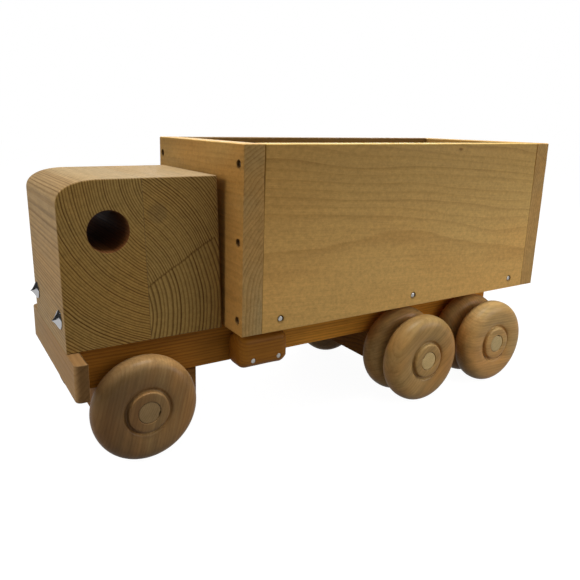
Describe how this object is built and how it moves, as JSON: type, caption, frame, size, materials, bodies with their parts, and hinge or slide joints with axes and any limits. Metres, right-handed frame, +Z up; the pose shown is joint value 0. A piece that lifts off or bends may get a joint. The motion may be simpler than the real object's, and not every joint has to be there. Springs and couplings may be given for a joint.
{
  "type": "toy dump truck",
  "caption": "Wooden toy dump truck: a solid block cab with a round window through it, a plain board box that tilts on a rear hinge, twin rear wheels and metal stud headlights.",
  "frame": {"origin": "on the floor under the middle of the truck: centre of the bounding box in plan, at the bottom of the wheels", "axes": "+X forward towards the bumper, +Y to the left side of the truck, +Z up"},
  "size_m": [0.513, 0.2052, 0.2564],
  "materials": {
    "box_wood": "satin clear-coated pine board, grain along the board",
    "cab_wood": "satin clear-coated pine block, strong end grain on its sides",
    "chassis_wood": "satin clear-coated pine, straight dark grain",
    "bumper_wood": "satin clear-coated pine",
    "tank_wood": "satin clear-coated red-brown wood",
    "wheel_wood": "satin turned hardwood",
    "dowel_wood": "sawn dowel end grain",
    "lamp_metal": "polished",
    "nail_steel": "bright",
    "hinge_steel": "zinc plated, dulled"
  },
  "bodies": {
    "chassis": {"chassis_beam": "chassis_wood", "front_axle_block": "chassis_wood", "rear_axle_block": "chassis_wood", "front_bumper": "bumper_wood", "cab_front_block": "cab_wood", "cab_rear_block": "cab_wood", "left_headlight": "lamp_metal", "right_headlight": "lamp_metal", "left_side_tank": "tank_wood", "right_side_tank": "tank_wood", "cab_screw_front": "nail_steel", "cab_screw_rear": "nail_steel", "hinge_chassis_leaf": "hinge_steel", "hinge_pin": "hinge_steel", "hinge_screw_chassis_left": "nail_steel", "hinge_screw_chassis_right": "nail_steel", "tank_nail_left_front": "nail_steel", "tank_nail_left_rear": "nail_steel", "tank_nail_right_front": "nail_steel", "tank_nail_right_rear": "nail_steel"},
    "dump_box": {"box_front_board": "box_wood", "box_rear_board": "box_wood", "box_left_board": "box_wood", "box_right_board": "box_wood", "box_floor": "box_wood", "front_board_nail_left_low": "nail_steel", "front_board_nail_left_middle": "nail_steel", "front_board_nail_left_high": "nail_steel", "front_board_nail_right_low": "nail_steel", "front_board_nail_right_middle": "nail_steel", "front_board_nail_right_high": "nail_steel", "rear_board_nail_left_low": "nail_steel", "rear_board_nail_left_middle": "nail_steel", "rear_board_nail_left_high": "nail_steel", "rear_board_nail_right_low": "nail_steel", "rear_board_nail_right_middle": "nail_steel", "rear_board_nail_right_high": "nail_steel", "floor_nail_left_front": "nail_steel", "floor_nail_left_middle": "nail_steel", "floor_nail_left_rear": "nail_steel", "floor_nail_right_front": "nail_steel", "floor_nail_right_middle": "nail_steel", "floor_nail_right_rear": "nail_steel", "hinge_box_leaf": "hinge_steel", "hinge_screw_box_left": "nail_steel", "hinge_screw_box_right": "nail_steel"},
    "front_axle_set": {"front_axle": "dowel_wood", "left_front_wheel": "wheel_wood", "right_front_wheel": "wheel_wood"},
    "middle_axle_set": {"middle_axle": "dowel_wood", "left_middle_inner_wheel": "wheel_wood", "left_middle_outer_wheel": "wheel_wood", "right_middle_inner_wheel": "wheel_wood", "right_middle_outer_wheel": "wheel_wood"},
    "rear_axle_set": {"rear_axle": "dowel_wood", "left_rear_inner_wheel": "wheel_wood", "left_rear_outer_wheel": "wheel_wood", "right_rear_inner_wheel": "wheel_wood", "right_rear_outer_wheel": "wheel_wood"}
  },
  "joints": [
    {"name": "box_tilt", "type": "hinge", "parent": "chassis", "child": "dump_box", "pos_m": [-0.23839, 0, 0.098], "axis": [0, -1, 0], "range_deg": [0, 45]},
    {"name": "front_axle_roll", "type": "hinge", "parent": "chassis", "child": "front_axle_set", "pos_m": [0.19081, 0, 0.04445], "axis": [0, 1, 0], "continuous": true},
    {"name": "middle_axle_roll", "type": "hinge", "parent": "chassis", "child": "middle_axle_set", "pos_m": [-0.08809, 0, 0.04445], "axis": [0, 1, 0], "continuous": true},
    {"name": "rear_axle_roll", "type": "hinge", "parent": "chassis", "child": "rear_axle_set", "pos_m": [-0.19039, 0, 0.04445], "axis": [0, 1, 0], "continuous": true}
  ]
}
